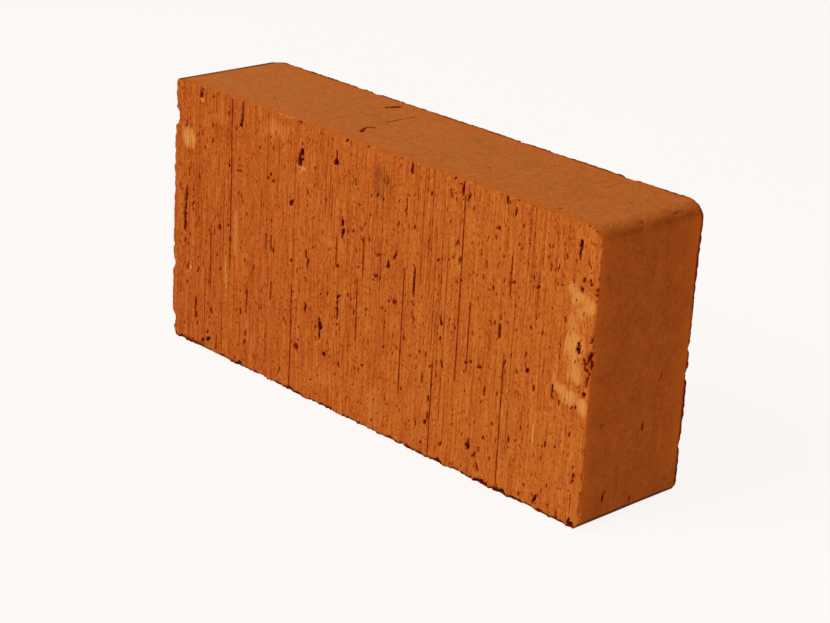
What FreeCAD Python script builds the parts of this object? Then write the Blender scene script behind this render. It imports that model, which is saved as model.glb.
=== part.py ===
import FreeCAD, Part
import math
import os

# One solid building brick of fired clay, standing on a long narrow face.
# X runs along its length, Y through its thickness and Z up across its width.
# The origin is the middle of the face that it rests on.
# Clay is squeezed out along Y through a mouth with rounded corners, and a taut wire,
# drawn along Z, slices it. So the two large faces are scored and torn by the wire,
# and the four narrow faces are smooth.

# Overall size, mm
LENGTH = 240.0
WIDTH = 115.0
THICKNESS = 55.0

# Corners of the extruded outline, mm. The column slumps on its belt, so no two are alike.
TOP_LEFT_RADIUS = 2.5
TOP_RIGHT_RADIUS = 6.5
BOTTOM_LEFT_RADIUS = 3.5
BOTTOM_RIGHT_RADIUS = 4.5

# Wear along the outlines of the two wire-cut faces, mm
ARRIS_BREAK = 0.4

# Scores that grit on the wire leaves across the whole width of a wire-cut face, mm
SCORE_PITCH = 7.5
SCORE_WANDER = 2.2
SCORE_WIDTH = 0.7
SCORE_DEPTH = 0.35
SCORE_END_MARGIN = 9.0
SCORE_TURN = 2.4  # radians from one score to the next, so that their wander never repeats
FRONT_PHASE = 0.5
BACK_PHASE = 3.1

# Scoops torn out of the front face where the wire caught a lump. Each has its share of
# the length from the left, its share of the width from below, its height and width in mm.
FRONT_TEARS = (
    (0.340, 0.887, 8.0, 2.4),
    (0.424, 0.918, 4.0, 1.6),
    (0.447, 0.680, 9.0, 1.2),
    (0.401, 0.282, 9.0, 1.2),
    (0.619, 0.590, 11.0, 1.1),
    (0.811, 0.552, 8.0, 1.1),
    (0.871, 0.458, 3.0, 2.0),
    (0.963, 0.919, 6.0, 1.4),
    (0.972, 0.597, 4.0, 2.0),
)
TEAR_DEPTH = 1.3

# Chips knocked out of the arrises where the front face meets an end, mm
CHIP_HEIGHT = 8.0
CHIP_DEPTH = 1.6
RIGHT_CHIP_SHARE = 0.577  # of the width, from below
LEFT_CHIP_SHARE = 0.852

# How far each cutting shape stands out of the brick, mm
CUT_OVERSHOOT = 1.0

HALF_LENGTH = LENGTH / 2
HALF_THICKNESS = THICKNESS / 2


def corner_arc(centre_x, centre_z, radius, start_degrees):
    """A quarter round of the outline, in the plane of the front face."""
    centre = FreeCAD.Vector(centre_x, -HALF_THICKNESS, centre_z)
    points = []
    for turn in (0, 45, 90):
        angle = math.radians(start_degrees + turn)
        spoke = FreeCAD.Vector(math.cos(angle), 0, math.sin(angle))
        points.append(centre + spoke * radius)
    return Part.Arc(*points).toShape()


def outline():
    """The mouth's section: a rectangle whose four corners have their own radii."""
    corners = (
        (1, 1, TOP_RIGHT_RADIUS, 0),
        (-1, 1, TOP_LEFT_RADIUS, 90),
        (-1, -1, BOTTOM_LEFT_RADIUS, 180),
        (1, -1, BOTTOM_RIGHT_RADIUS, 270),
    )
    arcs = []
    for side, height, radius, start_degrees in corners:
        centre_x = side * (HALF_LENGTH - radius)
        centre_z = WIDTH / 2 + height * (WIDTH / 2 - radius)
        arcs.append(corner_arc(centre_x, centre_z, radius, start_degrees))
    edges = []
    for arc, following in zip(arcs, arcs[1:] + arcs[:1]):
        edges.append(arc)
        edges.append(Part.makeLine(arc.Vertexes[-1].Point, following.Vertexes[0].Point))
    return Part.Wire(edges)


def sliced_column():
    """One slice of the clay column, with its two wire-cut outlines slightly worn."""
    slice_of_clay = Part.Face(outline()).extrude(FreeCAD.Vector(0, THICKNESS, 0))
    worn = []
    for edge in slice_of_clay.Edges:
        heights = [vertex.Y for vertex in edge.Vertexes]
        if max(heights) - min(heights) < ARRIS_BREAK:
            worn.append(edge)
    return slice_of_clay.makeChamfer(ARRIS_BREAK, worn)


def score(centre_x, side, depth):
    """A three-sided bar along Z that cuts one V, on the front (side -1) or back (side 1)."""
    skin = side * HALF_THICKNESS
    out = side * CUT_OVERSHOOT
    flare = SCORE_WIDTH / 2 * (1 + CUT_OVERSHOOT / depth)
    low = -CUT_OVERSHOOT
    points = [
        FreeCAD.Vector(centre_x - flare, skin + out, low),
        FreeCAD.Vector(centre_x + flare, skin + out, low),
        FreeCAD.Vector(centre_x, skin - side * depth, low),
    ]
    face = Part.Face(Part.makePolygon(points + points[:1]))
    return face.extrude(FreeCAD.Vector(0, 0, WIDTH + 2 * CUT_OVERSHOOT))


def scores(side, phase):
    """The scores of one wire-cut face, clear of the rounded ends of the slice."""
    count = int((LENGTH - 2 * SCORE_END_MARGIN) // SCORE_PITCH)
    bars = []
    for index in range(count):
        swing = math.sin(phase + index * SCORE_TURN)
        centre_x = (index - (count - 1) / 2) * SCORE_PITCH + SCORE_WANDER * swing
        depth = SCORE_DEPTH * (1 - swing * swing / 2)
        bars.append(score(centre_x, side, depth))
    return bars


def disc_radius(height, depth):
    """The radius of a disc that cuts a scoop of this height when it goes in this deep."""
    return (height * height / 4 + depth * depth) / (2 * depth)


def tear(share_along, share_up, height, width):
    """A round-bottomed scoop, deepest in its middle, like the cut of a slitting disc."""
    radius = disc_radius(height, TEAR_DEPTH)
    start = FreeCAD.Vector(
        -HALF_LENGTH + share_along * LENGTH - width / 2,
        -HALF_THICKNESS + TEAR_DEPTH - radius,
        share_up * WIDTH,
    )
    return Part.makeCylinder(radius, width, start, FreeCAD.Vector(1, 0, 0))


def chip(side, share_up):
    """The same scoop, cut across the front arris of the right (side 1) or left end."""
    radius = disc_radius(CHIP_HEIGHT, CHIP_DEPTH)
    arris = FreeCAD.Vector(side * HALF_LENGTH, -HALF_THICKNESS, share_up * WIDTH)
    outward = FreeCAD.Vector(side, -1, 0).normalize()
    across = FreeCAD.Vector(1, side, 0).normalize()
    reach = 2 * CHIP_DEPTH + CUT_OVERSHOOT
    start = arris + outward * (radius - CHIP_DEPTH) - across * reach
    return Part.makeCylinder(radius, 2 * reach, start, across)


def brick_body():
    """The whole brick: one slice of clay with everything that the wire and wear took off."""
    cuts = scores(-1, FRONT_PHASE) + scores(1, BACK_PHASE)
    for tear_values in FRONT_TEARS:
        cuts.append(tear(*tear_values))
    cuts.append(chip(1, RIGHT_CHIP_SHARE))
    cuts.append(chip(-1, LEFT_CHIP_SHARE))
    return sliced_column().cut(cuts)


brick = brick_body()
print("brick valid", brick.isValid(), "solids", len(brick.Solids), "volume", brick.Volume)
print("box", brick.optimalBoundingBox(False))
os.makedirs("parts", exist_ok=True)
brick.Solids[0].exportStep("parts/brick_body.step")
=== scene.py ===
import math

import bpy
import numpy as np
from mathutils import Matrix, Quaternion, Vector


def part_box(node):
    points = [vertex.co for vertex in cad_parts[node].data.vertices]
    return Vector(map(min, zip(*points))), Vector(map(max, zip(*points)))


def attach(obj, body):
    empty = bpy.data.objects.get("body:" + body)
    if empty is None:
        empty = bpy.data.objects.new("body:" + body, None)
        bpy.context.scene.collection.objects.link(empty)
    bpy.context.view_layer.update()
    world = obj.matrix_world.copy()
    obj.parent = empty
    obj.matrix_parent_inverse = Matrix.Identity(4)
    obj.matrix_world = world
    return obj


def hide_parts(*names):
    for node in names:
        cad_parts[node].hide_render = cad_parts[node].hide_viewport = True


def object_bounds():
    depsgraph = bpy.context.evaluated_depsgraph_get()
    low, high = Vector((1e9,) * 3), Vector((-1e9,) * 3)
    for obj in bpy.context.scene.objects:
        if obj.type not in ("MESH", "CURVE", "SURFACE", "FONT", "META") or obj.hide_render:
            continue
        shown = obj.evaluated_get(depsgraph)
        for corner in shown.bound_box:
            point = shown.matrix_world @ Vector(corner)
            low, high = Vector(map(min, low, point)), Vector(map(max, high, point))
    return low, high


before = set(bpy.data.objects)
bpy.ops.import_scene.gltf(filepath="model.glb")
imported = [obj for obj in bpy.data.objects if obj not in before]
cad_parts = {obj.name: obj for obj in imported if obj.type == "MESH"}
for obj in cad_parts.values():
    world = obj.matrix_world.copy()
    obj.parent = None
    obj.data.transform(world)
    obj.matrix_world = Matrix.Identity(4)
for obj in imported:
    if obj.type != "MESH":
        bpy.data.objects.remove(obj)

cad_low, cad_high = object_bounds()


# ---------------------------------------------------------------------------
# The slice of clay. A machine squeezes stiff clay out through a mouth with
# rounded corners, and a taut wire slices the column across. Every slice is one
# closed skin: two wire-cut faces and a smooth band between them.

# Lengths are in millimetres, from the slice's lower left front corner
MM = 0.001
low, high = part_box("brick_body")
LENGTH, THICKNESS, WIDTH = [(b - a) / MM for a, b in zip(low, high)]

# Radius of each corner of the mouth: right or left (1 or 0), top or bottom (1 or 0)
MOUTH_CORNERS = ((1, 1, 6.5), (0, 1, 2.5), (0, 0, 3.5), (1, 0, 4.5))

# The wire drags grit straight down the slice, so the skin is finest across the scores
SCORE_COUNT = 132
SCORE_JITTER = 0.28
SCORE_HALF_WIDTH = 0.22
WIDEST_COLUMN = 0.5
ROW_PITCH = 0.62
BAND_PITCH = 0.9
# Grid lines beside an arris, by their distance from it
EDGE_STEPS = np.array([0.0, 0.25, 0.6, 1.1, 1.8, 2.7])

# The deepest scores of the front face: along, lower end, upper end
LONG_SCORES = (
    (25.8, 28, 58), (38.3, 40, 115), (78.3, 0, 48), (104.5, 61, 75), (117.3, 34, 61),
    (120.1, 61, 79), (143.1, 20, 73), (161.0, 0, 40), (173.3, 36, 110), (179.0, 42, 70),
    (197.8, 3, 56), (198.6, 78, 94),
)

rng = np.random.default_rng(23)
steps = np.arange(SCORE_COUNT) + 0.5
score_at = (steps + rng.uniform(-SCORE_JITTER, SCORE_JITTER, SCORE_COUNT)) * LENGTH / SCORE_COUNT
for along, _, _ in LONG_SCORES:
    score_at[np.abs(score_at - along).argmin()] = along


def close_to_the_ends(total, inner):
    """Grid lines over a face, close together at its two edges."""
    margin = EDGE_STEPS[-1] + 0.3  # leaves no sliver between the last step and the next line
    inner = inner[(inner > margin) & (inner < total - margin)]
    return np.concatenate([EDGE_STEPS, inner, total - EDGE_STEPS[::-1]])


def lines_across_the_scores():
    """One grid line down the bottom of each score, one on each lip and a few between."""
    lines = []
    for here, following in zip(score_at, np.append(score_at[1:], LENGTH)):
        lines += [here - SCORE_HALF_WIDTH, here, here + SCORE_HALF_WIDTH]
        gap = following - here - 2 * SCORE_HALF_WIDTH
        count = max(int(gap // WIDEST_COLUMN), 0)
        lines += [here + SCORE_HALF_WIDTH + gap * (k + 1) / (count + 1) for k in range(count)]
    return np.array(lines)


columns = close_to_the_ends(LENGTH, lines_across_the_scores())
rows = close_to_the_ends(WIDTH, np.arange(0, WIDTH, ROW_PITCH))
depths = close_to_the_ends(THICKNESS, np.arange(0, THICKNESS, BAND_PITCH))[1:-1]
flat_x, flat_z = [a.ravel() for a in np.meshgrid(columns, rows, indexing="ij")]


def round_the_corners(x, z):
    """Moves the points of a plain rectangle inside the rounded mouth. Also gives each
    point's distance from the outline and the outward direction there."""
    to_sides = np.stack([x, LENGTH - x, z, WIDTH - z])
    nearest = to_sides.argmin(0)
    inside = to_sides.min(0)
    out_x = np.choose(nearest, [-1.0, 1.0, 0.0, 0.0])
    out_z = np.choose(nearest, [0.0, 0.0, -1.0, 1.0])
    x, z = x.copy(), z.copy()
    for right, top, radius in MOUTH_CORNERS:
        sign_x, sign_z = 2 * right - 1, 2 * top - 1
        centre_x = LENGTH - radius if right else radius
        centre_z = WIDTH - radius if top else radius
        a, b = (x - centre_x) * sign_x, (z - centre_z) * sign_z
        at = (a > 0) & (b > 0)
        a, b = a[at], b[at]
        span = np.hypot(a, b)
        pull = np.maximum(a, b) / span
        x[at], z[at] = centre_x + sign_x * a * pull, centre_z + sign_z * b * pull
        out_x[at], out_z[at] = sign_x * a / span, sign_z * b / span
    return x, z, inside, out_x, out_z


face_x, face_z, face_inside, face_out_x, face_out_z = round_the_corners(flat_x, flat_z)
face_count = len(face_x)
grid = np.arange(face_count).reshape(len(columns), len(rows))
rim = np.concatenate([grid[:, 0], grid[-1, 1:], grid[-2::-1, -1], grid[0, -2:0:-1]])
band_shape = (len(depths), len(rim))


def whole_skin(on_face, on_rim=None):
    """One number for each point: the front face, the back face, then the band's loops."""
    on_rim = on_face[rim] if on_rim is None else on_rim
    return np.concatenate([on_face, on_face, np.broadcast_to(on_rim, band_shape).ravel()])


skin_x, skin_z = whole_skin(face_x), whole_skin(face_z)
out_x, out_z = whole_skin(face_out_x), whole_skin(face_out_z)
inside = whole_skin(face_inside, np.zeros(len(rim)))
skin_y = np.concatenate([
    np.zeros(face_count),
    np.full(face_count, THICKNESS),
    np.repeat(depths, len(rim)),
])
place = np.stack([skin_x, skin_y, skin_z], 1)
is_front = np.arange(len(skin_x)) < face_count
is_back = (np.arange(len(skin_x)) < 2 * face_count) & ~is_front
on_rim = inside == 0


# How far each point ends up inside the plain slice: across the outline, and along Y.
# The plain slice itself is the biggest the brick may be, so every burr stays within it.
# What moves one side of an arris dies away over the nearest few grid lines of the other.
ROOM_FOR_BURRS = 0.14
ROOM_FOR_RIBS = 0.30
skirt = np.clip(1 - inside / EDGE_STEPS[-1], 0, 1)
sink_out = skirt * ROOM_FOR_BURRS
sink_in = np.where(is_front | is_back, ROOM_FOR_RIBS, 0.0)
# Darker broken clay, with painted shade in scores, pits, holes and chips
broken_clay_and_shade = np.zeros(len(place))
# Paler buff lime and crumbs, and painted highlights on the lower lips of pits
pale_and_highlight = np.zeros(len(place))
painted_rib_shading = np.full(len(place), 0.5)

# The store of random numbers that all lumps are drawn from
DICE = np.random.default_rng(5).random(1 << 16)


def lumps(points, cell, seed):
    """Smooth random numbers from 0 to 1 through the clay, one lump to each cell."""
    scaled = points / np.asarray(cell, float)
    corner = np.floor(scaled).astype(np.int64)
    part = scaled - corner
    part = part * part * (3 - 2 * part)
    total = np.zeros(len(points))
    for turn in range(8):
        step = np.array([turn & 1, turn >> 1 & 1, turn >> 2])
        i, j, k = (corner + step).T
        weight = np.where(step, part, 1 - part).prod(1)
        total += weight * DICE[(i * 73856093 ^ j * 19349663 ^ k * 83492791 ^ seed * 7919) & 0xFFFF]
    return total


# Fine lumps that make the edge of every hole ragged
torn = lumps(place, (0.7, 0.8, 0.9), 55)


# ---------------------------------------------------------------------------
# The smooth band. The steel mouth polishes it: long soft waves, faint streaks the
# way the column moved, and a few small pits where a grain fell out.

# Waves and streaks: their height, and the length of one along X, Y and Z
BAND_WAVES = ((0.30, (60, 40, 45)), (0.07, (7, 16, 7)), (0.05, (1.3, 22, 1.3)))
for seed, (wave_height, length) in enumerate(BAND_WAVES, 1):
    sink_out += skirt * wave_height * (lumps(place, length, seed) - 0.5)

# The left end slumped: it is fullest low down and falls away towards its top and foot
SLUMP_REACH = 14.0
FULLEST_AT = 52
TOP_FALL = 1.1
FOOT_FALL, FOOT_REACH = 1.3, 14
fall = TOP_FALL * np.clip((skin_z - FULLEST_AT) / (WIDTH - FULLEST_AT), 0, 1)
fall += FOOT_FALL * np.clip(1 - skin_z / FOOT_REACH, 0, 1)
slump = fall * np.clip(1 - skin_x / SLUMP_REACH, 0, 1)

# Pits of the right end and the top: x, y, z, half sizes along x, y and z, depth, darkness of the painted
# shade in the pit
BAND_PITS = (
    (LENGTH, 13.1, 12.3, 1, 0.5, 1.0, 0.6, 0.8), (LENGTH, 12.7, 10.8, 1, 0.5, 1.1, 0.7, 1.0),
    (LENGTH, 12.3, 9.3, 1, 0.5, 1.0, 0.6, 0.8), (LENGTH, 27.8, 5.6, 1, 0.5, 1.3, 0.5, 0.7),
    (LENGTH, 31.5, 33.8, 1, 0.5, 1.0, 0.6, 0.8), (LENGTH, 31.3, 32.6, 1, 0.5, 0.8, 0.6, 0.8),
    (LENGTH, 40.0, 53.0, 1, 0.5, 1.0, 0.3, 0.3), (LENGTH, 39.5, 51.6, 1, 0.5, 1.0, 0.3, 0.4),
    (LENGTH, 39.0, 50.2, 1, 0.5, 0.9, 0.3, 0.4), (LENGTH, 9.0, 39.9, 1, 0.7, 0.5, 0.3, 0.4),
    (LENGTH, 8.0, 38.9, 1, 0.6, 0.5, 0.3, 0.4), (LENGTH, 5.2, 96.4, 1, 0.9, 0.8, 0.3, 0.35),
    (LENGTH, 30.0, 99.0, 1, 0.5, 0.7, 0.2, 0.3), (LENGTH, 20.4, 70.0, 1, 0.4, 0.6, 0.2, 0.3),
    (LENGTH, 44.0, 22.0, 1, 0.4, 0.8, 0.2, 0.35), (83.4, 43.6, WIDTH, 0.8, 1.4, 1, 0.5, 0.6),
    (84.7, 45.6, WIDTH, 1.1, 1.7, 1, 0.7, 1.0), (85.6, 47.9, WIDTH, 1.1, 1.7, 1, 0.7, 1.0),
    (100.1, 42.0, WIDTH, 0.5, 5.0, 1, 0.3, 0.4), (99.7, 33.0, WIDTH, 0.45, 6.0, 1, 0.3, 0.4),
    (91.0, 30.5, WIDTH, 2.8, 0.6, 1, 0.2, 0.3), (238.0, 20.4, 113.0, 1.0, 0.6, 1.2, 0.3, 0.30),
    (238.2, 23.0, 113.0, 0.9, 0.9, 1.2, 0.3, 0.25), (238.0, 41.6, 113.0, 0.7, 1.9, 0.7, 0.3, 0.30),
    (238.4, 44.0, 112.6, 0.9, 0.7, 1.0, 0.3, 0.25), (166.0, 19.5, WIDTH, 1.2, 0.9, 1, 0.2, 0.3),
    (225.0, 32.0, WIDTH, 0.9, 0.8, 1, 0.2, 0.3), (214.5, 6.0, WIDTH, 0.9, 1.0, 1, 0.3, 0.4),
    (48.0, 14.5, WIDTH, 1.3, 1.0, 1, 0.2, 0.3),
)

# A crescent pressed into the top by the rim of some round thing: x, y, half width, darkness of the painted
# shade in it
CRESCENT = (
    (104.4, 11.0, 0.6, 0.45), (103.7, 11.8, 0.7, 0.58), (102.9, 12.7, 0.7, 0.62), (102.1, 13.7, 0.7, 0.60),
    (101.5, 14.8, 0.6, 0.56), (101.0, 16.0, 0.6, 0.54), (100.8, 17.2, 0.5, 0.50), (101.1, 18.3, 0.5, 0.50),
    (101.9, 19.0, 0.5, 0.46), (102.9, 19.2, 0.5, 0.42), (103.9, 18.9, 0.4, 0.36),
)


def dent(centre, half_sizes, raggedness=0.0):
    """How deep each point lies in a round-bottomed dent, from 0 outside to 1."""
    spread = ((place - centre) / half_sizes) ** 2
    return np.sqrt(np.clip(1 - spread.sum(1) + raggedness * (torn - 0.5), 0, 1))


# The far upper corner of the left end was knocked round while the clay was soft
KNOCK_DEPTH, KNOCK_REACH = 0.6, 5
knocked = KNOCK_DEPTH * dent((0, THICKNESS, WIDTH), KNOCK_REACH) ** 2
sink_out += knocked
sink_in += knocked

for *numbers, depth, darkness in BAND_PITS:
    near = dent(numbers[:3], numbers[3:], 0.8) * on_rim
    sink_out += depth * near
    broken_clay_and_shade = np.maximum(broken_clay_and_shade, darkness * np.minimum(1, 1.5 * near))

crescent_depth = np.zeros(len(place))
for along, across, half_width, darkness in CRESCENT:
    near = dent((along, across, WIDTH), (half_width, 1.2, 1.0), 0.3) * on_rim
    crescent_depth = np.maximum(crescent_depth, 0.6 * half_width * near)
    broken_clay_and_shade = np.maximum(broken_clay_and_shade, darkness * np.minimum(1, 1.5 * near))
sink_out += crescent_depth


# ---------------------------------------------------------------------------
# The two wire-cut faces. The wire ribs the clay, and each grain that it catches
# ploughs a straight score, tears out a pit or leaves a ragged hole.

# Bulges, ribs, fine ribs, finest ribs and grain: their height, and the length of one along X, Y and Z
CUT_WAVES = (
    (0.30, (50, 9, 38)), (0.16, (2.8, 9, 55)), (0.13, (0.95, 9, 26)), (0.08, (0.5, 9, 7)),
    (0.06, (1.1, 9, 1.3)),
)
for skin_depth, seed in ((skin_y, 10), (THICKNESS - skin_y, 40)):
    at = np.flatnonzero(skin_depth == 0)
    waves = [lumps(place[at], length, seed + turn) for turn, (_, length) in enumerate(CUT_WAVES)]
    sink_in[at] += sum(wave_height * (wave - 0.5) for (wave_height, _), wave in zip(CUT_WAVES, waves))
    fine, finest = waves[2], waves[3]
    # Painted shade: the clay is darker in the valleys of the fine and finest ribs
    painted_rib_shading[at] = 1 - 0.6 * fine
    painted_rib_shading[at] -= 0.4 * finest

column_of = {round(float(c), 4): i for i, c in enumerate(columns)}
scored_columns = [column_of[round(float(s), 4)] for s in score_at if round(float(s), 4) in column_of]


def plough(first_point, column, lower, upper, depth, painted_shade, spread=0.3):
    """Cuts one score down one column of a wire-cut face, heaps a little clay beside it and
    paints shade into the score. The spread is how much of that shade the neighbouring columns take."""
    fade = np.clip(np.minimum(rows - lower, upper - rows) / 2.5 + 0.4, 0, 1)
    flutter = 0.78 + 0.22 * np.sin(rows * 0.9 + column) * np.sin(rows * 0.37 + 2 * column)
    cut = depth * fade * flutter * ((rows > lower) & (rows < upper))
    darkness = painted_shade * cut / depth
    for beside in (column - 1, column, column + 1):
        points = first_point + grid[beside]
        sink_in[points] += cut if beside == column else -0.18 * cut
        share = 1.0 if beside == column else spread
        broken_clay_and_shade[points] = np.maximum(broken_clay_and_shade[points], share * darkness)


def pit(first_point, along, up, half_width, half_height, depth, painted_shade, lean, raggedness=1.5):
    """Tears one small hole out of a wire-cut face, paints shade into it and a highlight on the raised lip
    below it.
    """
    i = slice(*np.searchsorted(columns, (along - half_width - 1, along + half_width + 1)))
    j = slice(*np.searchsorted(rows, (up - half_height - 1, up + half_height + 1)))
    points = grid[i, j].ravel()
    x = face_x[points] - along - lean * (face_z[points] - up)
    z = face_z[points] - up
    bite = 1 - (x / half_width) ** 2 - (z / half_height) ** 2
    bite += raggedness * (torn[points] - 0.5)
    near = np.sqrt(np.clip(bite, 0, 1))
    points = points + first_point
    sink_in[points] += depth * near
    broken_clay_and_shade[points] = np.maximum(broken_clay_and_shade[points], painted_shade * np.minimum(1, 1.3 * near))
    # A raised lip below the hole, with a painted highlight on it
    lip = np.exp(-((x / half_width) ** 2) - ((z + half_height + 0.4) / 0.5) ** 2)
    sink_in[points] -= 0.15 * depth * lip
    pale_and_highlight[points] = np.maximum(pale_and_highlight[points], 0.5 * min(depth, 1) * lip)


# Every wire-cut face: scores of all lengths, and pits that mostly lie on a score
PIT_COUNT = 1150
SCORE_CHANCE = 0.62
for first_point, seed in ((0, 71), (face_count, 72)):
    draw = np.random.default_rng(seed)
    for column in scored_columns:
        for _ in range(2):
            if draw.random() < SCORE_CHANCE:
                length = 8 + 80 * draw.random() ** 2
                lower = draw.uniform(-10, WIDTH - 5)
                depth = 0.08 + 0.26 * draw.random() ** 2
                plough(first_point, column, lower, lower + length, depth, 0.08 + 1.7 * depth)
    for _ in range(PIT_COUNT):
        along = columns[draw.choice(scored_columns)] + draw.normal(0, 0.1)
        size = draw.random() ** 5
        half_height = 0.35 + 1.3 * size * draw.random() + 0.9 * draw.random() ** 3
        pit(first_point, along, draw.uniform(1.5, WIDTH - 1.5), 0.20 + 0.28 * size,
            half_height, 0.12 + 0.7 * size, draw.uniform(0.3, 0.8) + 0.3 * size,
            draw.normal(0, 0.30))

for along, lower, upper in LONG_SCORES:
    column = int(np.abs(columns - along).argmin())
    plough(0, column, lower, upper, depth=0.45, painted_shade=0.90, spread=0.5)

# The deep holes that tell this front face from any other: along, up, height, width, lean
TEARS = (
    (81.7, 102.6, 3.6, 2.6, 0.1), (81.0, 99.2, 4.4, 3.0, 0.3), (102.4, 106.3, 4.6, 1.1, 0.0),
    (102.2, 104.0, 2.4, 2.4, 0.0), (44.9, 111.0, 9.0, 1.3, 0.07), (44.4, 105.8, 4.4, 1.8, 0.12),
    (18.8, 114.0, 1.4, 1.5, 0.0), (18.0, 111.2, 2.2, 1.9, 0.4), (76.4, 80.5, 2.6, 2.2, 0.5),
    (107.3, 80.5, 3.2, 1.6, 0.0), (107.6, 76.4, 4.2, 1.4, 0.15), (148.5, 68.5, 12.5, 1.1, 0.02),
    (194.6, 63.3, 8.0, 1.1, 0.0), (233.0, 68.4, 3.4, 2.4, 0.15), (232.9, 70.6, 2.2, 1.0, 0.1),
    (230.5, 106.0, 7.0, 1.2, 0.12), (96.2, 34.0, 5.6, 2.3, 0.0), (96.1, 31.0, 6.4, 1.1, 0.0),
    (106.5, 49.6, 2.2, 1.4, 0.9), (106.2, 44.0, 9.0, 1.1, 0.0), (8.7, 64.5, 12.0, 1.5, 0.03),
    (8.2, 54.5, 11.0, 1.7, 0.0), (134.0, 71.4, 3.4, 1.3, 0.1), (209.4, 52.8, 2.0, 1.5, 0.2),
    (222.2, 50.0, 4.2, 1.0, 0.0), (190.8, 101.8, 1.6, 1.4, 0.2), (99.2, 23.0, 1.6, 2.4, 0.5),
    (217.5, 4.4, 3.6, 1.4, 0.4), (24.5, 5.0, 2.4, 2.4, 0.9), (21.2, 3.8, 2.2, 1.8, 0.6),
    (236.5, 64.4, 5.0, 0.8, -0.4), (238.7, 66.6, 2.8, 1.8, 0.6), (238.4, 58.6, 6.4, 1.0, 0.1),
    (237.0, 52.8, 1.9, 1.2, 0.0), (239.0, 73.9, 2.2, 1.2, 0.3), (237.8, 62.0, 1.2, 2.6, 1.0),
    (107.6, 113.9, 1.6, 1.4, 0.5), (144.7, 112.0, 5.4, 1.0, 0.05), (171.8, 111.6, 6.0, 1.0, 0.1),
    (234.8, 2.6, 2.8, 1.0, 0.5), (236.2, 1.8, 1.6, 1.8, 0.4), (182.0, 12.6, 2.4, 1.4, 0.1),
    (158.6, 14.2, 2.2, 1.5, 0.3), (232.6, 91.0, 2.4, 1.3, 0.0), (233.0, 94.8, 1.6, 1.2, 0.3),
    (236.2, 94.4, 2.2, 1.0, -0.3),
)

# Its shallow scars, where the wire only plucked at the face
SCARS = (
    (86.7, 38.6, 5.4, 2.0, 0.1), (87.3, 58.2, 5.6, 1.5, 0.1), (16.0, 19.0, 6.4, 1.6, 0.1),
    (16.4, 14.0, 3.6, 1.6, 0.2), (26.7, 18.6, 3.6, 1.8, -0.3), (81.7, 20.4, 3.0, 2.6, 0.3),
    (49.4, 15.6, 3.0, 1.5, 0.3), (48.8, 11.8, 3.4, 1.4, 0.3), (159.6, 17.0, 4.0, 1.1, 0.0),
    (182.2, 15.0, 3.0, 1.2, 0.0), (155.6, 31.4, 3.6, 1.1, 0.0), (185.6, 46.2, 1.5, 2.6, 0.8),
    (181.0, 46.8, 1.2, 1.8, 0.0), (178.4, 45.6, 1.2, 1.6, 0.4), (142.6, 97.0, 9.0, 1.0, 0.03),
    (128.0, 73.4, 1.8, 2.8, 0.3), (127.4, 64.6, 1.8, 3.2, 0.5), (126.0, 62.6, 1.2, 2.2, 0.5),
    (63.2, 88.8, 2.2, 1.8, 0.5), (64.6, 86.4, 1.6, 2.2, 0.3), (61.8, 86.8, 1.4, 1.4, 0.2),
    (31.2, 57.2, 3.8, 2.0, 0.1), (235.6, 21.0, 2.4, 1.2, 0.3), (235.0, 18.2, 2.6, 1.0, 0.6),
    (116.4, 90.3, 1.3, 1.2, 0.0), (147.5, 90.0, 2.0, 1.2, 0.3), (61.2, 60.6, 9.0, 1.0, 0.0),
    (64.3, 60.0, 8.0, 1.0, 0.0), (36.0, 107.6, 3.0, 1.4, 0.1), (77.4, 56.2, 1.6, 2.4, 0.6),
    (138.6, 57.4, 2.2, 2.6, 0.6), (135.2, 56.6, 1.6, 1.6, 0.4), (189.0, 38.0, 4.4, 1.3, 0.1),
    (211.8, 85.6, 1.6, 1.8, 0.7), (200.2, 84.0, 1.4, 1.6, 0.5), (172.0, 84.0, 3.6, 1.2, 0.2),
    (105.6, 62.2, 1.2, 1.8, 0.3), (43.4, 85.0, 1.3, 2.8, 1.4), (149.6, 53.0, 3.0, 1.0, 0.0),
    (100.0, 49.0, 2.4, 1.0, 0.2), (122.0, 25.6, 1.2, 1.6, 0.4), (167.6, 8.6, 2.4, 1.4, 0.3),
    (49.6, 31.0, 14.0, 1.0, 0.02), (65.0, 39.0, 10.0, 1.0, 0.03), (10.4, 34.0, 3.6, 1.4, 0.3),
)
draw = np.random.default_rng(9)
for holes, depth, painted_shade in ((TEARS, 1.3, 1.0), (SCARS, 0.6, 0.55)):
    for along, up, height, width, lean in holes:
        pit(0, along, up, width / 2, height / 2, depth, painted_shade, lean, 1.3)
        for _ in range(1 + int(height * width / 3)):
            off = draw.normal(0, 0.75, 2)
            beside, above = along + off[0] * width / 2, up + off[1] * height / 2
            half_height = draw.uniform(0.4, 1.0)
            pit(0, beside, above, 0.35, half_height, 0.3 * depth, 0.7 * painted_shade, draw.normal(0, 0.4), 0.4)

# At the very edge, all this reaches a little way round the arris into the band
for first_point, skin_depth in ((0, skin_y), (face_count, THICKNESS - skin_y)):
    lid = np.clip(1 - skin_depth[2 * face_count :] / EDGE_STEPS[-1], 0, 1).reshape(band_shape)
    sink_in[2 * face_count :] += (lid * sink_in[first_point + rim]).ravel()


# ---------------------------------------------------------------------------
# The arrises, where a wire-cut face meets the band. The wire leaves them sharp
# and ragged, with burrs on the side where it came out, and handling chips them.

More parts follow.
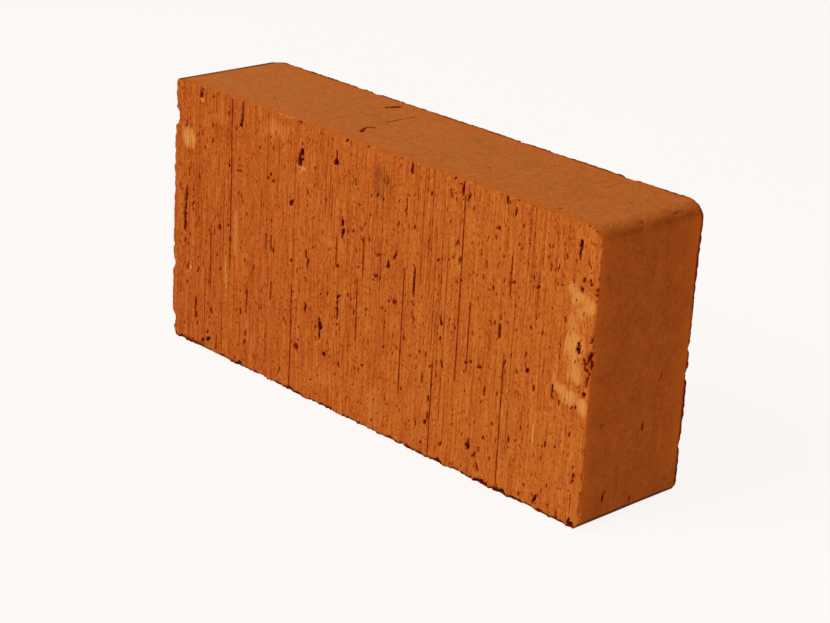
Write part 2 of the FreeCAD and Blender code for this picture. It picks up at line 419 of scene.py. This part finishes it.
ARRIS_MIN, ARRIS_SPREAD = 0.30, 1.1
BURR_OUT, BURR_IN, BURR_REACH = 0.45, 0.25, 0.7
edge_point = place + np.stack([out_x * inside, np.zeros(len(place)), out_z * inside], 1)
at_foot = out_z < -0.7
at_ends = np.abs(out_x) > 0.7
foot_shadow_line = np.zeros(len(place))
for turn_seed, skin_depth in enumerate((skin_y, THICKNESS - skin_y)):
    # Distance round the arris: negative on the cut face, positive on the band
    round_it = np.where(on_rim, skin_depth, -inside)
    round_it[~on_rim & (skin_depth > THICKNESS / 2)] = 99
    edge = edge_point.copy()
    edge[:, 1] = skin_depth < THICKNESS / 2
    worn = ARRIS_MIN + ARRIS_SPREAD * lumps(edge, (2.6, 1, 2.6), 60 + turn_seed) ** 4
    worn += 0.4 * lumps(edge, (17, 1, 17), 63) ** 2
    turn = (np.clip(round_it / worn, -1, 1) + 1) * math.pi / 4
    at = np.abs(round_it) < worn
    sink_out += at * (worn * (1 - np.sin(turn)) - np.where(on_rim, 0, inside))
    sink_in += at * (worn * (1 - np.cos(turn)) - np.where(on_rim, skin_depth, 0))
    # Burrs and crumbs
    ragged = lumps(edge, (1.9, 1, 1.9), 66 + turn_seed) - 0.45
    ragged += 0.6 * (lumps(edge, (0.8, 1, 0.8), 69 + turn_seed) - 0.5)
    ragged *= 0.45 + 0.3 * at_ends + (0.8 * at_foot + 0.25 * (out_z > 0.7)) * (edge[:, 1] > 0)
    close = np.exp(-((round_it / BURR_REACH) ** 2))
    sink_out -= BURR_OUT * ragged * close
    sink_in -= BURR_IN * ragged * close * (np.abs(round_it) < 2)
    # The broken clay shows darker, partly its own colour and partly painted shade in the crumbs;
    # along the foot, where the wire tore out, painted shadow runs in stretches, and the clay is
    # darker along the back arris round the top and the ends, most in stretches
    crumbs_and_shade = np.clip(-2.6 * ragged - 0.2, 0, 0.9) * (1 - 0.4 * at_ends)
    in_stretches = np.clip(3.2 * lumps(edge, (9, 1, 9), 77 + turn_seed) - 0.9, 0, 1)
    crumbs_and_shade = np.maximum(crumbs_and_shade, at_foot * in_stretches * np.clip(1.0 - 0.8 * ragged, 0, 1))
    back_arris_dark = turn_seed * on_rim * (1.0 * at_ends + 0.92 * (out_z > 0.7))
    crumbs_and_shade = np.maximum(crumbs_and_shade, back_arris_dark * (0.5 + 0.5 * in_stretches))
    on_face = 0.4 + 1.9 * lumps(edge, (3.4, 1, 3.4), 72 + turn_seed) ** 2
    reach = np.where(round_it > 0, 0.9 + 0.6 * turn_seed, on_face)
    broken_clay_and_shade = np.maximum(broken_clay_and_shade, crumbs_and_shade * np.exp(-((round_it / reach) ** 2)))
    foot_shadow_line = np.maximum(foot_shadow_line, at_foot * in_stretches * np.exp(-((round_it / 0.9) ** 2)))

# Painted shadow along the foot and painted shade low on the ends of the band; darker along the
# upper left and upper right rounded corners; and grime in one smudge on the front
uneven = lumps(place, (5, 6, 5), 74)
foot_shade = np.clip((-out_z - 0.10 - 0.2 * uneven) / 0.25, 0, 1) * np.clip((1 + out_z) / 0.06, 0, 1)
upper_left = np.clip((4.9 - skin_x) / 1.5, 0, 1) * (out_z > 0.3) * (0.5 + 0.5 * uneven)
upper_right = np.exp(-(((out_z - 0.45) / 0.18) ** 2)) * (out_x > 0.1) * 0.3 * uneven
low_end_shade = 0.22 * np.exp(-skin_z / 6) * at_ends
grime_and_shade = on_rim * (foot_shade * (0.65 + 0.5 * uneven) + upper_left + upper_right + low_end_shade)
grime_and_shade = np.maximum(grime_and_shade, 0.8 * foot_shadow_line)
smudge = 1 - ((skin_x - 128) / 6) ** 2 - ((skin_z - 102) / 7) ** 2
smudge += 1.6 * (lumps(place, (2.2, 9, 3.5), 75) - 0.5)
grime_and_shade = np.maximum(grime_and_shade, 0.40 * np.clip(smudge, 0, 1) * is_front)

# Chips of the arrises: x, y and z of the middle, half sizes along x, y and z, depth
CHIPS = (
    (LENGTH, 0, 66.4, 2.6, 1.6, 3.8, 1.1), (0, 0, 98.0, 2.4, 2.2, 4.0, 1.5),
    (LENGTH, 0, 88.6, 0.7, 0.6, 0.9, 0.35), (LENGTH, 0, 22.0, 0.9, 0.8, 2.0, 0.5),
    (LENGTH, 0, 8.0, 1.2, 1.0, 2.6, 0.5), (0, 0, 8.0, 2.0, 1.6, 3.0, 0.8),
    (0, 0, 33.0, 1.4, 1.4, 2.2, 0.6), (LENGTH, THICKNESS, 48.0, 1.3, 1.2, 3.0, 0.6),
    (LENGTH, THICKNESS, 59.0, 1.2, 1.1, 1.8, 0.5), (LENGTH, THICKNESS, 20.0, 1.2, 1.2, 2.2, 0.5),
    (60, 0, 0, 5.0, 1.3, 1.0, 0.7), (118, 0, 0, 3.0, 1.2, 1.0, 0.6), (176, 0, 0, 4.0, 1.4, 1.1, 0.8),
    (214, 0, 0, 5.0, 1.4, 1.2, 0.8), (66, THICKNESS, WIDTH, 3.0, 1.2, 1.0, 0.5),
    (150, THICKNESS, WIDTH, 2.2, 1.2, 1.0, 0.6), (30, THICKNESS, 0, 6.0, 2.2, 1.8, 1.0),
    (205, THICKNESS, WIDTH, 3.6, 1.6, 1.4, 0.8), (0, THICKNESS, 40.0, 2.0, 2.0, 5.0, 1.2),
    (0, THICKNESS, 104.0, 1.6, 1.6, 3.0, 0.8), (LENGTH, 0, 108.6, 0.7, 0.7, 1.4, 0.5),
    (35, 0, 0.2, 2.2, 0.8, 1.0, 0.5), (45.8, 0, 0.8, 2.0, 0.9, 1.3, 0.6),
    (72, 0, 0.2, 3.6, 0.8, 1.0, 0.5), (190.3, 0, 0.8, 3.8, 0.9, 1.3, 0.7),
    (200.5, 0, 0.7, 3.6, 0.9, 1.3, 0.7), (208.5, 0, 0.3, 4.4, 0.9, 1.2, 0.6),
    (221.5, 0, 0.3, 3.4, 0.8, 1.0, 0.5), (235.6, 0, 1.2, 1.8, 0.9, 1.6, 0.8),
    (167.1, 0, 0.9, 1.8, 0.8, 1.2, 0.5),
)

# Small bites all along the foot, of any size between the least and the most
BITE_COUNT, BITE_DEPTH = 150, 0.5
BITE_LEAST, BITE_MOST = (0.6, 0.5, 0.5), (3.4, 1.1, 1.3)
draw = np.random.default_rng(12)
foot_bites = [
    (draw.uniform(3, 236), THICKNESS * draw.integers(2), 0, *draw.uniform(BITE_LEAST, BITE_MOST), BITE_DEPTH)
    for _ in range(BITE_COUNT)
]
for *numbers, depth in (*CHIPS, *foot_bites):
    near = dent(numbers[:3], numbers[3:], 0.9)
    sink_out += depth * near
    sink_in += depth * near
    # Chips show darker broken clay with painted shade; the bites along the foot get painted shadow
    broken_clay_and_shade = np.maximum(broken_clay_and_shade, near * np.where(at_foot, 1.2, min(1.0, 0.9 * depth) * torn))


# ---------------------------------------------------------------------------
# The colour of the clay beneath the surface. Lime-rich streaks fire to buff, so
# a few patches of the front face and its right edge are paler than the rest.

# Patches: along, up, half width, half height, strength
BUFF_PATCHES = (
    (10.2, 92.0, 4.6, 5.0, 0.9), (67.0, 108.0, 8.0, 4.0, 0.35), (228.2, 90.2, 2.6, 2.6, 0.7),
    (231.6, 87.8, 3.4, 3.6, 0.85), (235.8, 85.8, 3.4, 3.4, 0.8), (232.6, 82.6, 2.6, 3.2, 0.7),
    (229.6, 77.0, 2.6, 5.0, 0.5), (229.6, 68.6, 3.6, 7.4, 0.85), (233.6, 70.0, 2.6, 4.4, 0.7),
    (231.6, 60.4, 3.4, 5.0, 0.7), (235.4, 59.0, 1.8, 4.0, 0.5), (226.0, 51.6, 3.6, 1.8, 0.7),
    (231.4, 49.6, 3.8, 3.0, 0.9), (236.4, 47.8, 3.0, 3.8, 0.9), (222.8, 53.4, 0.9, 2.6, 0.5),
    (41.5, 58.0, 1.3, 10.0, 0.5), (36.0, 38.0, 1.2, 13.0, 0.5), (130.0, 10.0, 7.0, 8.0, 0.25),
    (12.0, 34.5, 1.2, 1.0, 0.8), (18.5, 109.4, 1.5, 1.3, 1.0), (172.6, 81.0, 1.0, 2.4, 0.7),
    (82.6, 96.2, 1.6, 1.2, 0.8), (214.8, 30.0, 0.6, 4.0, 0.8), (220.5, 39.8, 1.8, 0.7, 0.8),
    (52.0, 16.0, 4.0, 8.0, 0.2), (98.0, 12.0, 6.0, 6.0, 0.2), (30.0, 104.0, 6.0, 3.0, 0.2),
)
lime = 1.3 * (lumps(place, (2.6, 9, 5.0), 90) - 0.5) + 0.9 * (lumps(place, (0.9, 9, 3.0), 91) - 0.5)
for along, up, half_width, half_height, strength in BUFF_PATCHES:
    x = (skin_x - along) / half_width
    z = (skin_z - up) / half_height
    near = np.clip(1.3 - x * x - z * z + lime, 0, 1) * (x * x + z * z < 4) * is_front
    pale_and_highlight = np.maximum(pale_and_highlight, strength * near)

# Pale crumbs of bare clay along the upper arris of the front face
CRUMB_COUNT = 46
draw = np.random.default_rng(31)
for _ in range(CRUMB_COUNT):
    half = draw.uniform(0.3, 1.3), draw.uniform(0.3, 0.8), 0.6
    along = draw.choice((draw.normal(68, 7), draw.uniform(6, 232)))
    near = dent((along, abs(draw.normal(0, 1.6)), WIDTH), half, 0.8)
    pale_and_highlight = np.maximum(pale_and_highlight, draw.uniform(0.3, 0.9) * near)

# The skin of the band is rubbed off near its edges, and shows brighter clay there
to_arris = np.minimum(skin_y, THICKNESS - skin_y)
rub_reach = 1.5 + np.where(skin_y > THICKNESS / 2, 8.0, 4.0) * lumps(place, (6, 60, 6), 95)
rubbed = np.exp(-((to_arris / rub_reach) ** 2)) + np.exp(-((skin_x / 5) ** 2)) * (out_z > 0.7)
rubbed = np.clip(rubbed, 0, 1) * on_rim


# ---------------------------------------------------------------------------
# The brick itself. The kiln turns the slice of clay into one solid, iron-red ceramic
# body. It stands on a long narrow face, and nothing else is fixed to it.

sink_out, sink_in = np.maximum(sink_out, 0), np.maximum(sink_in, 0)
middle_ward = np.where(is_back | (on_rim & (skin_y > THICKNESS / 2)), -1, 1)
shaped = place.copy()
shaped[:, 0] -= out_x * sink_out - slump
shaped[:, 2] -= out_z * sink_out
shaped[:, 1] += middle_ward * sink_in
corners_m = shaped * MM + np.array(low)


def squares(a):
    """The four-cornered faces of a grid of points, turned from its first axis to its second."""
    return np.stack([a[:-1, :-1], a[1:, :-1], a[1:, 1:], a[:-1, 1:]], -1).reshape(-1, 4)


loops = 2 * face_count + np.arange(len(depths) * len(rim)).reshape(band_shape)
band = np.concatenate([rim[None], loops, rim[None] + face_count])
band = np.concatenate([band, band[:, :1]], 1)
quads = np.concatenate([squares(grid), squares(grid + face_count)[:, ::-1], squares(band)])

# The flat map of the skin: both large faces above each other, the long sides of the
# band upright beside them, and its two ends in a row on top, all at one scale
MAP_GAP = 3.0
run = np.hypot(np.diff(face_x[rim], append=face_x[0]), np.diff(face_z[rim], append=face_z[0]))
run = np.concatenate([[0], np.cumsum(run)])
bottom_end = len(columns) - 1
right_end = bottom_end + len(rows) - 1
top_end = right_end + len(columns) - 1
band_parts = ((0, bottom_end), (bottom_end, right_end), (right_end, top_end), (top_end, len(rim)))
band_y = np.concatenate([[0], depths, [THICKNESS]])
flat = [np.stack([face_x, face_z], 1)[squares(grid)]]
flat.append((np.stack([face_x, face_z + WIDTH + MAP_GAP], 1))[squares(grid)[:, ::-1]])
strip_low = (
    (LENGTH + MAP_GAP, 0, True),
    (0, 2 * (WIDTH + MAP_GAP), False),
    (LENGTH + THICKNESS + 2 * MAP_GAP, 0, True),
    (WIDTH + 2 * MAP_GAP, 2 * (WIDTH + MAP_GAP), False),
)
band_map = np.zeros((len(band_y) - 1, len(rim), 4, 2))
for (first, last), (map_x, map_y, upright) in zip(band_parts, strip_low):
    along_band = run[first : last + 1] - run[first]
    a, b = np.meshgrid(band_y, along_band, indexing="ij")
    corner = np.stack([map_x + a, map_y + b] if upright else [map_x + b, map_y + a], -1)
    index = np.arange(a.size).reshape(a.shape)
    cells = corner.reshape(-1, 2)[squares(index)].reshape(len(band_y) - 1, last - first, 4, 2)
    band_map[:, first:last] = cells
flat.append(band_map.reshape(-1, 4, 2))
flat = np.concatenate(flat) + MAP_GAP
flat /= flat.max() + MAP_GAP

mesh = bpy.data.meshes.new("brick")
mesh.from_pydata(corners_m.tolist(), [], quads.tolist())
mesh.shade_smooth()
mesh.uv_layers.new(name="OFBake").uv.foreach_set("vector", flat.astype(np.float32).ravel())
torn_edge = 0.1 + 1.1 * lumps(place, (1.6, 9, 1.6), 97) ** 2
over_edge = 3.4 * np.clip(lumps(place, (3.6, 9, 3.6), 98) - 0.42, 0, 1) - to_arris
cut = np.clip(np.where(on_rim, over_edge, inside + 0.3 - torn_edge) / 0.5, 0, 1)
# Painted light: the bare clay grows paler along the brick towards its right end
paint = {
    "broken_clay_and_shade": broken_clay_and_shade, "buff_and_highlight": pale_and_highlight, "wire_cut": cut, "painted_rib_shading": painted_rib_shading, "rubbed": rubbed,
    "grime_and_shade": grime_and_shade, "painted_light_ramp": skin_x / LENGTH,
}
for name, values in paint.items():
    mesh.attributes.new(name, "FLOAT", "POINT").data.foreach_set("value", values.astype(np.float32))
brick = bpy.data.objects.new("brick", mesh)
bpy.context.scene.collection.objects.link(brick)


# Fired clay: iron-red and matt, with sandy grain, faint streaks and paler lime
RED_CLAY, ORANGE_CLAY = (0.300, 0.025, 0.0010), (0.590, 0.181, 0.0260)
WELL_FIRED, MOTTLED = (0.430, 0.100, 0.0090), (0.470, 0.088, 0.0160)
DULL_SKIN, BROWN_SKIN = (0.290, 0.045, 0.0045), (0.480, 0.106, 0.0130)
SHEEN_AND_DUST, RUBBED_SKIN = (0.620, 0.222, 0.0480), (0.530, 0.106, 0.0090)
PALE_GRAIN, LIME = (0.620, 0.240, 0.0600), (0.640, 0.250, 0.0560)
TORN_CLAY_AND_SHADE, DEEP_SHADE = (0.190, 0.010, 0.0004), (0.075, 0.0015, 0.0002)
SHADE_AND_GRIME = (0.070, 0.0140, 0.0028)
clay = bpy.data.materials.new("fired_clay")
clay.use_nodes = True
nodes, links = clay.node_tree.nodes, clay.node_tree.links
shader = nodes["Principled BSDF"]
shader.inputs["Specular IOR Level"].default_value = 0.02
object_space = nodes.new("ShaderNodeTexCoord")
position = object_space.outputs["Object"]


def joined(kind, links_in=(), **settings):
    """A node with its settings, its plain inputs and its linked inputs."""
    node = nodes.new(kind)
    for name, value in settings.items():
        setattr(node, name, value)
    for name, value in dict(links_in).items():
        if isinstance(value, bpy.types.NodeSocket):
            links.new(value, node.inputs[name])
        else:
            node.inputs[name].default_value = value
    return node


def ranged(value, start, end):
    """A value stretched so that the start becomes 0 and the end 1."""
    return joined("ShaderNodeMapRange", {"Value": value, "From Min": start, "From Max": end}).outputs[0]


def grain(cells, detail, roughness=0.5, low_end=0.0, high_end=1.0):
    """Noise with cells of this size in millimetres, along X, Y and Z, and its contrast."""
    scale = tuple(1 / (c * MM) for c in cells)
    moved = joined("ShaderNodeMapping", {"Vector": position, "Scale": scale})
    noise = joined("ShaderNodeTexNoise", {
        "Vector": moved.outputs[0], "Scale": 1.0, "Detail": detail, "Roughness": roughness})
    return ranged(noise.outputs["Fac"], low_end, high_end)


def times(a, b):
    return joined("ShaderNodeMath", {0: a, 1: b}, operation="MULTIPLY").outputs[0]


def plus(a, b):
    return joined("ShaderNodeMath", {0: a, 1: b}, operation="ADD").outputs[0]


def blend(amount, first, second):
    """The first colour at 0, the second at 1. Either is a socket or a plain colour."""
    mix = joined("ShaderNodeMix", {"Factor": amount}, data_type="RGBA")
    for name, value in (("A", first), ("B", second)):
        socket = [s for s in mix.inputs if s.name == name and s.type == "RGBA"][0]
        if isinstance(value, bpy.types.NodeSocket):
            links.new(value, socket)
        else:
            socket.default_value = (*value, 1)
    return [s for s in mix.outputs if s.type == "RGBA"][0]


def painted(name):
    """A number stored on the points of the skin."""
    return joined("ShaderNodeAttribute", attribute_name=name).outputs["Fac"]


broken_clay_and_shade_mask, buff_and_highlight_mask, cut_mask = painted("broken_clay_and_shade"), painted("buff_and_highlight"), painted("wire_cut")
painted_rib_shading_mask, rubbed_mask = painted("painted_rib_shading"), painted("rubbed")
grime_and_shade_mask, painted_light_ramp_mask = painted("grime_and_shade"), painted("painted_light_ramp")
firing = grain((40, 40, 40), 3, 0.6, 0.3, 0.7)
mottle = grain((7, 7, 10), 4, 0.6, 0.3, 0.7)
streaks = grain((0.85, 3.0, 13.0), 3, 0.62, 0.30, 0.70)
grit = grain((0.9, 0.9, 1.4), 3, 0.7, 0.32, 0.68)
drag = grain((1.1, 9.0, 1.1), 3, 0.65, 0.30, 0.70)
blotch = grain((2.6, 3.2, 2.6), 3, 0.6, 0.30, 0.70)
sand = grain((0.5, 0.5, 0.5), 3, 0.7, 0.25, 0.75)
specks = grain((0.9, 0.9, 1.6), 1, 0.4, 0.70, 0.76)
dots = grain((0.8, 0.8, 1.8), 2, 0.5, 0.62, 0.68)

# Bare clay of the wire-cut faces: streaked and gritty, with painted shade in the valleys of the ribs and
# painted light that grows towards the right end
tone = plus(times(streaks, 0.62), plus(times(grit, 0.55), times(painted_rib_shading_mask, 0.50)))
tone = plus(tone, plus(times(painted_light_ramp_mask, 0.22), -0.44))
rough_clay = blend(tone, RED_CLAY, ORANGE_CLAY)
rough_clay = blend(times(firing, 0.22), rough_clay, WELL_FIRED)
rough_clay = blend(times(mottle, 0.25), rough_clay, MOTTLED)

# Skin of the band: duller, and yellow-grey on what faces up, partly dust that settled there and partly a
# painted sheen
skin_tone = plus(times(mottle, 0.35), plus(times(grit, 0.40), times(blotch, 0.30)))
skin_clay = blend(skin_tone, DULL_SKIN, BROWN_SKIN)
upward = joined("ShaderNodeSeparateXYZ", {0: object_space.outputs["Normal"]}).outputs["Z"]
dust_and_sheen = plus(times(plus(drag, blotch), 0.12), plus(times(painted_light_ramp_mask, -0.10), 0.29))
dust_and_sheen = plus(dust_and_sheen, times(plus(grit, -0.5), 0.44))
dust_and_sheen_amount = times(ranged(upward, 0.55, 1.0), dust_and_sheen)
skin_clay = blend(ranged(dust_and_sheen_amount, 0.0, 1.0), skin_clay, SHEEN_AND_DUST)
skin_clay = blend(times(rubbed_mask, 0.60), skin_clay, RUBBED_SKIN)
surface = blend(cut_mask, skin_clay, rough_clay)

# Pale and dark grains, buff lime with painted highlights on the lower lips of pits, and the dark broken clay
# of scores, pits and chips with painted shade in them
surface = blend(times(specks, 0.30), surface, PALE_GRAIN)
surface = blend(times(times(dots, cut_mask), 0.70), surface, TORN_CLAY_AND_SHADE)
limed = times(buff_and_highlight_mask, plus(0.65, times(streaks, 0.5)))
surface = blend(ranged(limed, 0.05, 0.95), surface, LIME)
broken_and_shaded = plus(broken_clay_and_shade_mask, times(plus(grit, -0.5), times(broken_clay_and_shade_mask, 0.9)))
surface = blend(ranged(broken_and_shaded, 0.08, 0.46), surface, TORN_CLAY_AND_SHADE)
surface = blend(ranged(broken_and_shaded, 0.46, 0.95), surface, DEEP_SHADE)
# Painted shadow at the foot, painted shade low on the ends, darker upper corners and one grime smudge
surface = blend(ranged(grime_and_shade_mask, 0.0, 1.0), surface, SHADE_AND_GRIME)
links.new(surface, shader.inputs["Base Color"])
links.new(plus(times(sand, 0.12), 0.78), shader.inputs["Roughness"])

# The grain stands up by these parts of a millimetre
grain_height = plus(times(sand, 0.07), times(times(streaks, cut_mask), -0.09))
grain_height = plus(grain_height, times(times(grit, cut_mask), 0.10))
grain_height = plus(grain_height, times(times(dots, cut_mask), -0.12))
bump = joined("ShaderNodeBump", {"Height": grain_height, "Strength": 1.0, "Distance": MM})
links.new(bump.outputs[0], shader.inputs["Normal"])
mesh.materials.append(clay)

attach(brick, "root")
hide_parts("brick_body")


# ---------------------------------------------------------------------------
# The floor: a plain white board, lit until almost nothing of it shows but white.
# The brick stands on it by its own weight.

FLOOR_HALF = 4.0
BOARD_WHITE, BOARD_GLOW, GLOW_STRENGTH = (0.07, 0.069, 0.068, 1), (1.0, 0.966, 0.940, 1), 0.918
floor_mesh = bpy.data.meshes.new("floor")
floor_mesh.from_pydata(
    [(x * FLOOR_HALF, y * FLOOR_HALF, cad_low.z) for x, y in ((-1, -1), (1, -1), (1, 1), (-1, 1))],
    [], [(0, 1, 2, 3)])
floor = bpy.data.objects.new("floor", floor_mesh)
bpy.context.scene.collection.objects.link(floor)
board = bpy.data.materials.new("white_board")
board.use_nodes = True
board_shader = board.node_tree.nodes["Principled BSDF"]
board_shader.inputs["Base Color"].default_value = BOARD_WHITE
board_shader.inputs["Roughness"].default_value = 0.9
board_shader.inputs["Specular IOR Level"].default_value = 0.0
board_shader.inputs["Emission Color"].default_value = BOARD_GLOW
board_shader.inputs["Emission Strength"].default_value = GLOW_STRENGTH
floor_mesh.materials.append(board)


# ---------------------------------------------------------------------------
# Light: one large soft lamp to the front left and above, and an even white room
# that fills the shadows. The camera sees its walls brighter than the light they give.

ROOM_COLOUR, ROOM_STRENGTH = (1.0, 0.985, 0.97, 1), 0.38
BACKDROP_COLOUR = (0.975, 0.935, 0.905, 1)
world = bpy.data.worlds.new("room")
world.use_nodes = True
room_nodes, room_links = world.node_tree.nodes, world.node_tree.links
room_light = room_nodes["Background"]
room_light.inputs["Color"].default_value = ROOM_COLOUR
room_light.inputs["Strength"].default_value = ROOM_STRENGTH
backdrop = room_nodes.new("ShaderNodeBackground")
backdrop.inputs["Color"].default_value = BACKDROP_COLOUR
seen = room_nodes.new("ShaderNodeLightPath")
either = room_nodes.new("ShaderNodeMixShader")
room_links.new(seen.outputs["Is Camera Ray"], either.inputs["Fac"])
room_links.new(room_light.outputs[0], either.inputs[1])
room_links.new(backdrop.outputs[0], either.inputs[2])
room_links.new(either.outputs[0], room_nodes["World Output"].inputs["Surface"])
bpy.context.scene.world = world
bpy.context.scene.view_settings.view_transform = "Standard"
bpy.context.scene.view_settings.look = "None"

middle = (cad_low + cad_high) / 2
LAMP_OFFSET = Vector((-0.32, -1.45, 1.60))
LAMP_SIZE, LAMP_WATTS = 1.2, 38
lamp_data = bpy.data.lights.new("softbox", "AREA")
lamp_data.shape = "SQUARE"
lamp_data.size = LAMP_SIZE
lamp_data.energy = LAMP_WATTS
lamp = bpy.data.objects.new("softbox", lamp_data)
lamp.location = middle + LAMP_OFFSET
lamp.rotation_mode = "QUATERNION"
lamp.rotation_quaternion = (-LAMP_OFFSET).to_track_quat("-Z", "Y")
bpy.context.scene.collection.objects.link(lamp)


# ---------------------------------------------------------------------------
# Camera: a long lens from the right front corner, a little above the brick. It is
# turned a few degrees on its own axis and aimed a little below the middle.

AZIMUTH, ELEVATION, ROLL = math.radians(45.65), math.radians(20.87), math.radians(3.12)
DISTANCE, LENS, SENSOR = 0.8521, 92.79, 36
AIM_RIGHT, AIM_UP = 2.3 * MM, 42.3 * MM
looked_at = Vector((middle.x + AIM_RIGHT, middle.y, cad_low.z + AIM_UP))
back = Vector((
    math.sin(AZIMUTH) * math.cos(ELEVATION),
    -math.cos(AZIMUTH) * math.cos(ELEVATION),
    math.sin(ELEVATION),
))
camera_data = bpy.data.cameras.new("camera")
camera_data.lens = LENS
camera_data.sensor_width = SENSOR
camera_data.clip_start = 0.01
camera = bpy.data.objects.new("camera", camera_data)
camera.location = looked_at + back * DISTANCE
camera.rotation_mode = "QUATERNION"
camera.rotation_quaternion = (-back).to_track_quat("-Z", "Y") @ Quaternion((0, 0, 1), ROLL)
bpy.context.scene.collection.objects.link(camera)
bpy.context.scene.camera = camera
